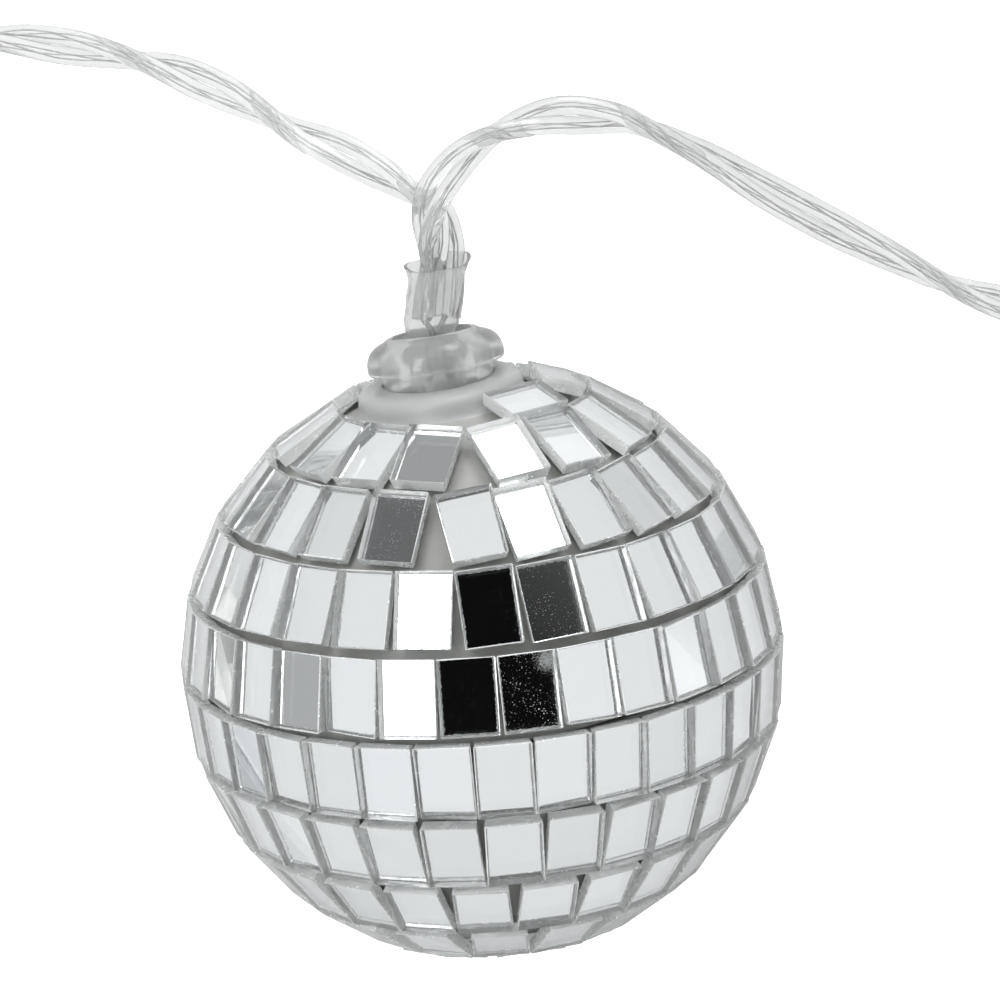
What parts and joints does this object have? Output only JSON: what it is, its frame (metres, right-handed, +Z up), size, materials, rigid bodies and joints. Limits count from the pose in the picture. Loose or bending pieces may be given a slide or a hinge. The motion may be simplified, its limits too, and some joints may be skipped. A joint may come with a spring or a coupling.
{
  "type": "mirror ball",
  "caption": "Small mirror ball lamp: rows of flat glass mirrors on a round shell, frosted neck, milky sleeve and twisted clear leads running out both ways.",
  "frame": {"origin": "centre of the outer face of the mirror that the ball rests on, on the table", "axes": "+Z up from the table; the neck points along +Y and leans up by about 21 degrees; +X to the right, towards the lead that runs on"},
  "size_m": [0.1686, 0.0906, 0.0494],
  "materials": {
    "mirror_glass": "clear glass blocks silvered on the back, grey green at the edges",
    "shell_plastic": "grey translucent moulded plastic",
    "frosted_plastic": "frosted translucent soft plastic",
    "lens_plastic": "water clear resin",
    "tinned_metal": "dull tinned wire",
    "clear_cord": "clear soft plastic over silvery strands",
    "milky_sleeve": "milky clear shrunk tube with soft waves",
    "white_plastic": "satin moulded white plastic",
    "plug_metal": "bright nickel plated sheet",
    "contact_gold": "thin gold plating"
  },
  "bodies": {
    "lamp": {"led_lens": "lens_plastic", "led_leg_1": "tinned_metal", "led_leg_2": "tinned_metal", "crimp_ferrule_1": "tinned_metal", "crimp_ferrule_2": "tinned_metal", "wire_end_1": "clear_cord", "wire_end_2": "clear_cord", "wire_end_3": "clear_cord", "wire_end_4": "clear_cord", "shrink_sleeve": "milky_sleeve", "feed_cord": "clear_cord", "feed_cord_coil": "clear_cord", "coil_tie": "white_plastic", "feed_cord_tail": "clear_cord", "plug_strain_relief": "white_plastic", "plug_body": "white_plastic", "plug_shell": "plug_metal", "plug_tongue": "white_plastic", "plug_contact_1": "contact_gold", "plug_contact_2": "contact_gold", "plug_contact_3": "contact_gold", "plug_contact_4": "contact_gold", "run_on_cord": "clear_cord", "run_on_end_cap": "milky_sleeve"},
    "neck_grommet": {"grommet": "frosted_plastic"},
    "ball": {"shell_upper": "shell_plastic", "shell_lower": "shell_plastic", "mirror_row_1_strip_1": "mirror_glass", "mirror_row_1_strip_2": "mirror_glass", "mirror_row_2_strip_1": "mirror_glass", "mirror_row_2_strip_2": "mirror_glass", "mirror_row_3_strip_1": "mirror_glass", "mirror_row_3_strip_2": "mirror_glass", "mirror_row_4_strip_1": "mirror_glass", "mirror_row_4_strip_2": "mirror_glass", "mirror_row_5_strip_1": "mirror_glass", "mirror_row_5_strip_2": "mirror_glass", "mirror_row_6_strip_1": "mirror_glass", "mirror_row_6_strip_2": "mirror_glass", "mirror_row_7_strip_1": "mirror_glass", "mirror_row_7_strip_2": "mirror_glass", "mirror_row_8_strip_1": "mirror_glass", "mirror_row_8_strip_2": "mirror_glass", "mirror_row_9_strip_1": "mirror_glass", "mirror_row_9_strip_2": "mirror_glass", "mirror_crown_1": "mirror_glass", "mirror_crown_2": "mirror_glass", "mirror_base_1": "mirror_glass", "mirror_base_2": "mirror_glass"}
  },
  "joints": [
    {"name": "lamp_pull", "type": "slide", "parent": "lamp", "child": "neck_grommet", "axis": [0, -0.9321, -0.3622], "range_m": [0, 0.02]},
    {"name": "ball_turn", "type": "hinge", "parent": "neck_grommet", "child": "ball", "pos_m": [0, 0, 0.0246], "axis": [0, 0.9321, 0.3622], "continuous": true}
  ]
}
